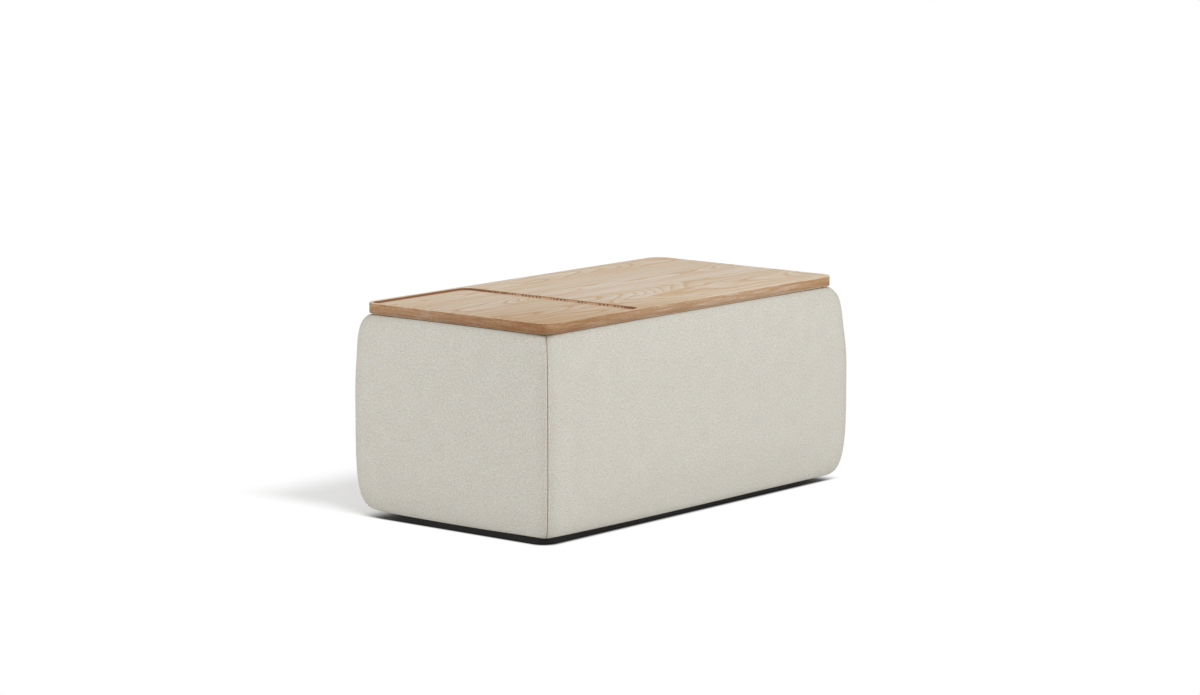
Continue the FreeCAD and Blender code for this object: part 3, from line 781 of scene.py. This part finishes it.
def cover_side(side):
    """One cloth panel, wrapped over the wall and under the base, bowed out, and rolled in at its seams."""
    angle, run, _ = SIDES[side]
    profile = cover_profile()
    columns = 2 * round(run / CLOTH_STEP) + 1
    along = np.linspace(-1, 1, columns)
    arcs = [0.0]
    for (depth, height), (next_depth, next_height) in zip(profile, profile[1:]):
        arcs.append(arcs[-1] + math.hypot(next_depth - depth, next_height - height))
    ends = {}
    for sign in (-1, 1):
        ends[sign] = [cloth_point(side, sign, depth, height) for depth, height in profile]
        for apex in ends[sign]:
            apex.x -= sign * SEAM_HALF_GAP
    rows = [panel_row(side, along, profile, ends, number) for number in range(len(profile))]
    grain = []
    from_seam = []
    free = []
    for row, arc, (depth, height) in zip(rows, arcs, profile):
        on_face = smooth_step((SIDE_TUCK * 0.8 - depth) / (SIDE_TUCK * 0.6)) if height > COVER_FOOT else 0.0
        lengths = [0.0]
        for point, following in zip(row, row[1:]):
            lengths.append(lengths[-1] + (following - point).length)
        for length in lengths:
            edge = min(length, lengths[-1] - length)
            grain.append((length - lengths[-1] / 2, arc, 0.0))
            from_seam.append(edge)
            free.append(on_face * smooth_step((edge - HELD_BAND) / HELD_BLEND))
    points = [point for row in rows for point in row]
    faces = grid_faces(len(rows), len(rows[0]))
    piece = new_piece(f"cover_panel_{side}", points, faces, "cover_cloth", "box")
    store = piece.data.attributes.new("cloth_grain", "FLOAT_VECTOR", "POINT")
    store.data.foreach_set("vector", np.array(grain, np.float32).ravel())
    store = piece.data.attributes.new("from_seam", "FLOAT", "POINT")
    store.data.foreach_set("value", np.array(from_seam, np.float32))
    settle(piece, free)
    piece.data.transform(Matrix.Rotation(math.radians(angle), 4, "Z"))
    finer = piece.modifiers.new("finer", "SUBSURF")
    finer.levels = finer.render_levels = 1
    thick = piece.modifiers.new("thick", "SOLIDIFY")
    thick.thickness = CLOTH_THICK
    thick.offset = -1.0
    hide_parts(f"cover_{side}")


def foam_pad(side):
    """One foam pad on its wall, with the form of the side's face, set in to leave room for the cloth."""
    angle, run, _ = SIDES[side]
    profile = face_profile(COVER_TOP - FOAM_GAP, COVER_FOOT + FOAM_GAP, 40)
    back = [(WALL_DEPTH - FOAM_GAP, height) for height in np.linspace(profile[-1][1], profile[0][1], 8)]
    loop = profile + back
    columns = 2 * round(run / FOAM_STEP) + 1
    points = []
    for along in np.linspace(-1, 1, columns):
        for depth, height in loop:
            points.append(cloth_point(side, along, depth, height, FOAM_GAP, FOAM_CORNER_GAP))
    size = len(loop)
    faces = []
    for here in range(0, (columns - 1) * size, size):
        beyond = here + size
        for number in range(size):
            following = (number + 1) % size
            faces.append((here + number, here + following, beyond + following, beyond + number))
    faces.append(tuple(range(size))[::-1])
    faces.append(tuple(range((columns - 1) * size, columns * size)))
    piece = new_piece(f"foam_pad_{side}", points, faces, "foam", "box")
    piece.data.transform(Matrix.Rotation(math.radians(angle), 4, "Z"))
    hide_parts(f"foam_{side}")


def lining_board(side):
    """A thin board wrapped in twill over wadding, with soft edges and a face that swells a little."""
    low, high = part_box(f"liner_{side}")
    size = high - low
    centre = (low + high) / 2
    swell = 0.0006
    edge_round = 0.0017
    shell = bmesh.new()
    bmesh.ops.create_cube(shell, size=1.0)
    bmesh.ops.scale(shell, vec=size, verts=shell.verts)
    bmesh.ops.bevel(shell, geom=shell.edges[:], offset=edge_round, segments=4, profile=0.5, affect="EDGES")
    long_edges = [edge for edge in shell.edges if edge.calc_length() > 0.1]
    bmesh.ops.subdivide_edges(shell, edges=long_edges, cuts=15, use_grid_fill=True)
    thin = 0 if size.x < size.y else 1
    wide = 1 - thin
    inward = -math.copysign(1.0, centre[thin])
    for point in shell.verts:
        share = (1 - (2 * point.co[wide] / size[wide]) ** 2) * (1 - (2 * point.co.z / size.z) ** 2)
        point.co[thin] *= 1 - 2 * swell / size[thin]
        point.co[thin] += inward * swell * (2 * max(share, 0.0) - 1)
        point.co += centre
    mesh = bpy.data.meshes.new(f"lining_board_{side}")
    shell.to_mesh(mesh)
    shell.free()
    piece = dressed(mesh, "lining", "box")
    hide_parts(f"liner_{side}")


def flat_cloth(name, node, slot, thickness, rows, columns, height_at):
    """A cut sheet in its solid's outline. Height_at gives its underside, from -1 to 1 each way."""
    low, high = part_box(node)
    points = []
    for v in np.linspace(-1, 1, rows):
        for u in np.linspace(-1, 1, columns):
            x = (low.x + high.x) / 2 + u * (high.x - low.x) / 2
            y = (low.y + high.y) / 2 + v * (high.y - low.y) / 2
            points.append((x, y, height_at(u, v)))
    piece = new_piece(name, points, grid_faces(rows, columns), slot, "box")
    thick = piece.modifiers.new("thick", "SOLIDIFY")
    thick.thickness = thickness
    thick.offset = -1.0
    edge = piece.modifiers.new("soft_edge", "BEVEL")
    edge.width = thickness * 0.3
    edge.segments = 2
    edge.limit_method = "ANGLE"
    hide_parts(node)


def mat_underside(u, v):
    """The felt lies flat on the base, with a slight lift here and there."""
    base_top = 0.0351
    lift = 0.0002
    return base_top + lift * (1 + math.sin(9 * u + 2 * v) * math.sin(4 * v - 3 * u))


def dust_cloth_underside(u, v):
    """Drawn up at its stapled edges, hanging a little in the middle and between the staples."""
    edge_height = 0.0193
    sag = 0.0016
    scallop_depth = 0.0005
    hang = sag * (1 - u ** 4) * (1 - v ** 4)
    scallop = abs(math.sin(u * math.pi * 5)) * abs(v) ** 12 + abs(math.sin(v * math.pi * 2)) * abs(u) ** 24
    return edge_height - hang - scallop_depth * scallop


def staples():
    """Wire staples that hold the dust cloth's edges up to the base."""
    low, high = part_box("dust_cloth")
    wire = bpy.data.curves.new("dust_cloth_staples", "CURVE")
    wire.dimensions = "3D"
    wire.bevel_depth = 0.00035
    wire.bevel_resolution = 2
    inset = 0.006
    from_corner = 0.03
    long_edge_count = 11
    short_edge_count = 4
    half_width = 0.0045
    leg_top = 0.0200
    crown = 0.0187
    path = ((-half_width, leg_top), (-half_width, crown), (half_width, crown), (half_width, leg_top))
    places = []
    for x in np.linspace(low.x + from_corner, high.x - from_corner, long_edge_count):
        places += [(x, low.y + inset, False), (x, high.y - inset, False)]
    for y in np.linspace(low.y + from_corner, high.y - from_corner, short_edge_count):
        places += [(low.x + inset, y, True), (high.x - inset, y, True)]
    for x, y, turned in places:
        spline = wire.splines.new("BEZIER")
        spline.bezier_points.add(3)
        for point, (step, z) in zip(spline.bezier_points, path):
            point.co = (x, y + step, z) if turned else (x + step, y, z)
            point.handle_left_type = point.handle_right_type = "VECTOR"
    wire.materials.append(finishes["screw_steel"].material)
    piece = bpy.data.objects.new("dust_cloth_staples", wire)
    scene.collection.objects.link(piece)
    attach(piece, "box")


# Felt bumpers and screws

def circle(radius, height, segments):
    """Points of a level circle round the axis."""
    turns = [2 * math.pi * step / segments for step in range(segments)]
    return [(radius * math.cos(turn), radius * math.sin(turn), height) for turn in turns]


def lathe(profile, segments):
    """Points and faces of a closed turned form. Its (radius, height) profile starts and ends on the axis."""
    points = [(0.0, 0.0, profile[0][1])]
    for radius, height in profile[1:-1]:
        points += circle(radius, height, segments)
    points.append((0.0, 0.0, profile[-1][1]))
    rings = len(profile) - 2
    last = len(points) - 1
    faces = []
    for step in range(segments):
        after = (step + 1) % segments
        faces.append((0, 1 + after, 1 + step))
        for ring in range(rings - 1):
            here = 1 + ring * segments
            beyond = here + segments
            faces.append((here + step, here + after, beyond + after, beyond + step))
        start = 1 + (rings - 1) * segments
        faces.append((last, start + step, start + after))
    return points, faces


def felt_bumpers():
    """Pressed felt discs under the lid, softened at their rims."""
    low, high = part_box("lid_bumpers")
    radius = 0.007
    profile = [(0, low.z), (0.55, low.z), (0.80, low.z + 0.0001), (0.94, low.z + 0.0004)]
    profile += [(1.0, low.z + 0.0010), (0.985, high.z - 0.0003), (0.95, high.z), (0, high.z)]
    disc_points, disc_faces = lathe([(share * radius, height) for share, height in profile], 40)
    along_front = [(x, -0.2025) for x in (-0.38, 0.0, 0.38)]
    at_ends = [(x, 0.0) for x in (-0.4145, 0.4145)]
    points = []
    faces = []
    for x, y in along_front + at_ends:
        start = len(points)
        points += [(x + point[0], y + point[1], point[2]) for point in disc_points]
        faces += [tuple(start + number for number in face) for face in disc_faces]
    piece = new_piece("felt_bumpers", points, faces, "felt", "lid")
    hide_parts("lid_bumpers")


def wood_screw(length):
    """A countersunk screw along +Z, its head's face at zero, with a cross recess and a rolled thread."""
    screw = bmesh.new()
    head_radius = 0.0038
    head_height = 0.0019
    core = 0.00145
    crest = 0.0020
    pitch = 0.0019
    segments = 12
    shank = crest * 0.95
    thread_start = length * 0.3
    rim = [(head_radius, 0.0), (head_radius, 0.0002), (shank, head_height), (shank, thread_start)]
    rings = []
    for radius, height in rim:
        rings.append([screw.verts.new(point) for point in circle(radius, height, segments)])
    tip = 0.004
    per_turn = 6
    count = round((length - thread_start - tip * 0.2) / pitch * per_turn)
    for number in range(1, count + 1):
        height = thread_start + number * pitch / per_turn
        ring = []
        for step in range(segments):
            share = step / segments
            phase = (number / per_turn - share) % 1.0
            ridge = max(0.0, 1 - 3 * abs(phase - 0.5))
            taper = min(1.0, (length - height) / tip + 0.05)
            radius = (core + (crest - core) * ridge) * taper
            turn = 2 * math.pi * share
            ring.append(screw.verts.new((radius * math.cos(turn), radius * math.sin(turn), height)))
        rings.append(ring)
    for ring, following in zip(rings, rings[1:]):
        for step in range(segments):
            after = (step + 1) % segments
            screw.faces.new((ring[step], ring[after], following[after], following[step]))
    screw.faces.new(rings[-1])
    arm = 0.0021
    half = 0.0005
    recess_depth = 0.0015
    outline = [(arm, -half), (arm, half), (half, half), (half, arm), (-half, arm), (-half, half)]
    outline += [(-arm, half), (-arm, -half), (-half, -half), (-half, -arm), (half, -arm), (half, -half)]
    mouth = [screw.verts.new((x, y, 0.0)) for x, y in outline]
    floor = [screw.verts.new((x * 0.62, y * 0.8, recess_depth)) for x, y in outline]
    corners = len(outline)
    edges = [screw.edges.get((rings[0][step], rings[0][(step + 1) % segments])) for step in range(segments)]
    edges += [screw.edges.new((mouth[step], mouth[(step + 1) % corners])) for step in range(corners)]
    bmesh.ops.triangle_fill(screw, edges=edges, use_beauty=True)
    for step in range(corners):
        after = (step + 1) % corners
        screw.faces.new((mouth[step], mouth[after], floor[after], floor[step]))
    screw.faces.new(floor)
    bmesh.ops.recalc_face_normals(screw, faces=screw.faces)
    mesh = bpy.data.meshes.new("wood_screw")
    screw.to_mesh(mesh)
    screw.free()
    return mesh


def screws(name, node, body, length, heads, pointing):
    """Screws with their heads at the given places, pointing up (1) or down (-1), each turned its own way."""
    group = bmesh.new()
    one = wood_screw(length)
    flip = Matrix.Identity(4) if pointing > 0 else Matrix.Rotation(math.pi, 4, "X")
    for number, head in enumerate(heads):
        before = len(group.verts)
        group.from_mesh(one)
        group.verts.ensure_lookup_table()
        place = Matrix.Translation(head) @ flip @ Matrix.Rotation(0.7 * number, 4, "Z")
        bmesh.ops.transform(group, matrix=place, verts=group.verts[before:])
    mesh = bpy.data.meshes.new(name)
    group.to_mesh(mesh)
    group.free()
    piece = dressed(mesh, "screw_steel", body)
    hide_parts(node)


# The pieces
for side_name in SIDES:
    foam_pad(side_name)
    cover_side(side_name)
    lining_board(side_name)
flat_cloth(
    "felt_mat",
    "floor_mat",
    "felt",
    thickness=0.0026,
    rows=25,
    columns=49,
    height_at=mat_underside,
)
flat_cloth(
    "dust_sheet",
    "dust_cloth",
    "dust_cloth",
    thickness=0.0005,
    rows=41,
    columns=101,
    height_at=dust_cloth_underside,
)
staples()
felt_bumpers()
batten_heads = [(x, y, 0.386) for x in (-0.27, 0.27) for y in (-0.13, 0.0, 0.13)]
hinge_places = [x + step for x in (-0.29, 0.0, 0.29) for step in (-0.024, 0.0, 0.024)]
hinge_row = 0.2025
lid_leaf_heads = [(x, hinge_row, 0.4002) for x in hinge_places]
box_leaf_heads = [(x, hinge_row, 0.3997) for x in hinge_places]
screws("batten_wood_screws", "batten_screws", "lid", 0.024, batten_heads, 1)
screws("hinge_lid_wood_screws", "hinge_lid_screws", "lid", 0.012, lid_leaf_heads, 1)
screws("hinge_box_wood_screws", "hinge_box_screws", "box", 0.024, box_leaf_heads, -1)


# Camera and studio

def camera():
    """The photograph's view: long lens, from the left of the front, a little above the lid."""
    data = bpy.data.cameras.new("view")
    data.sensor_width = 36.0
    data.lens = 118.08
    tilt_down = 8.6703
    heading = 39.7493
    eye = bpy.data.objects.new("view", data)
    eye.location = (-5.8060, -4.8159, 1.4544)
    eye.rotation_euler = (math.radians(90 - tilt_down), 0, math.radians(heading - 90))
    scene.collection.objects.link(eye)
    scene.camera = eye


def seen_directly(finish):
    """1 for what the camera sees, straight or in a polished surface; 0 for light on its way elsewhere."""
    kinds = ("Is Camera Ray", "Is Glossy Ray", "Is Transmission Ray")
    camera_ray, glossy, through = [finish.add("ShaderNodeLightPath", {}, {}, kind) for kind in kinds]
    return camera_ray.maths("MAXIMUM", glossy).maths("MAXIMUM", through)


def soft_lamp(name, place, aim, width, height, watts):
    """A rectangular lamp that faces its aim."""
    lamp = bpy.data.lights.new(name, "AREA")
    lamp.shape = "RECTANGLE"
    lamp.size = width
    lamp.size_y = height
    lamp.energy = watts
    holder = bpy.data.objects.new(name, lamp)
    holder.location = place
    holder.rotation_euler = (Vector(aim) - Vector(place)).to_track_quat("-Z", "Y").to_euler()
    scene.collection.objects.link(holder)


def studio():
    """A white floor, soft light all round, a large lamp high in front and a weak one at the left."""
    ground = Finish("white_floor")
    seen = seen_directly(ground)
    x, y, _ = ground.split(ground.place())
    # For the camera the floor is plain white but for a shaded region. It runs from the plinth's rounded front
    # left corner to the back, and its edge at the left moves in and turns softer from near_y to far_y
    plinth_round = 0.030
    round_x = -0.374
    round_y = -0.162
    past_left = (round_x - x).maths("MAXIMUM", 0.0)
    past_front = (round_y - y).maths("MAXIMUM", 0.0)
    past_plinth = past_left.hypot(past_front) - plinth_round
    in_front = ground.between(past_plinth, -0.002, 0.013)
    near_y = 0.20
    far_y = 0.44
    shadow_edge = ground.between(y, near_y, far_y, 0.402, 0.320)
    fringe = ground.between(y, near_y, far_y, 0.015, 0.105)
    at_left = ground.between((-1.0 * x - shadow_edge) / fringe, 0.0, 1.0)
    at_right = ground.between(x, 0.450, 0.525)
    behind = ground.between(y, 0.48, 0.66)
    shaded = (1.0 - in_front) * (1.0 - at_left) * (1.0 - at_right) * (1.0 - behind)
    clear = seen * (1.0 - shaded)
    # The floor lights the part as pale paper does and is seen a little brighter; where seen it carries a
    # painted dark shade under the part, fading out past its back and right ends
    back_foot = 0.215
    right_foot = 0.450
    shade_width = 0.075
    past_foot = ((y - back_foot) / shade_width).maths("MAXIMUM", (x - right_foot) / shade_width)
    paper = ground.mix(seen, (0.80, 0.80, 0.80), (1.15, 1.15, 1.15))
    # Painted shade: a near-black floor colour under the part, for what the camera sees
    paper = ground.mix(seen * ground.between(past_foot, 0.0, 1.0, 0.90, 0.0), paper, (0.02, 0.02, 0.02))
    matt = ground.add("ShaderNodeBsdfDiffuse", {}, {"Color": paper})
    bright = ground.add("ShaderNodeEmission", {}, {"Color": (1.0, 1.0, 1.0, 1.0), "Strength": 1.0})
    ground.add_output(ground.add("ShaderNodeMixShader", {}, {0: clear, 1: matt, 2: bright}))
    half = 2.5
    corners = [(-half, -half, 0), (half, -half, 0), (half, half, 0), (-half, half, 0)]
    mesh = bpy.data.meshes.new("floor")
    mesh.from_pydata(corners, [], [(0, 1, 2, 3)])
    mesh.materials.append(ground.material)
    floor = bpy.data.objects.new("floor", mesh)
    scene.collection.objects.link(floor)

    scene.world = bpy.data.worlds.new("studio")
    sky = Finish("studio_sky", scene.world)
    strength = seen_directly(sky) * (1.0 - SKY_STRENGTH) + SKY_STRENGTH
    glow = sky.add("ShaderNodeBackground", {}, {"Color": (1.0, 1.0, 1.0, 1.0), "Strength": strength})
    sky.add_output(glow, "ShaderNodeOutputWorld")
    soft_lamp("high_lamp", (0.3, -4.2, 2.1), (0, 0, 0.2), 2.1, 1.8, 92.0)
    soft_lamp("left_lamp", (-2.8, 0.65, 0.75), (-0.46, 0, 0.2), 2.0, 1.2, 24.3)


camera()
studio()
scene.view_settings.view_transform = "Standard"
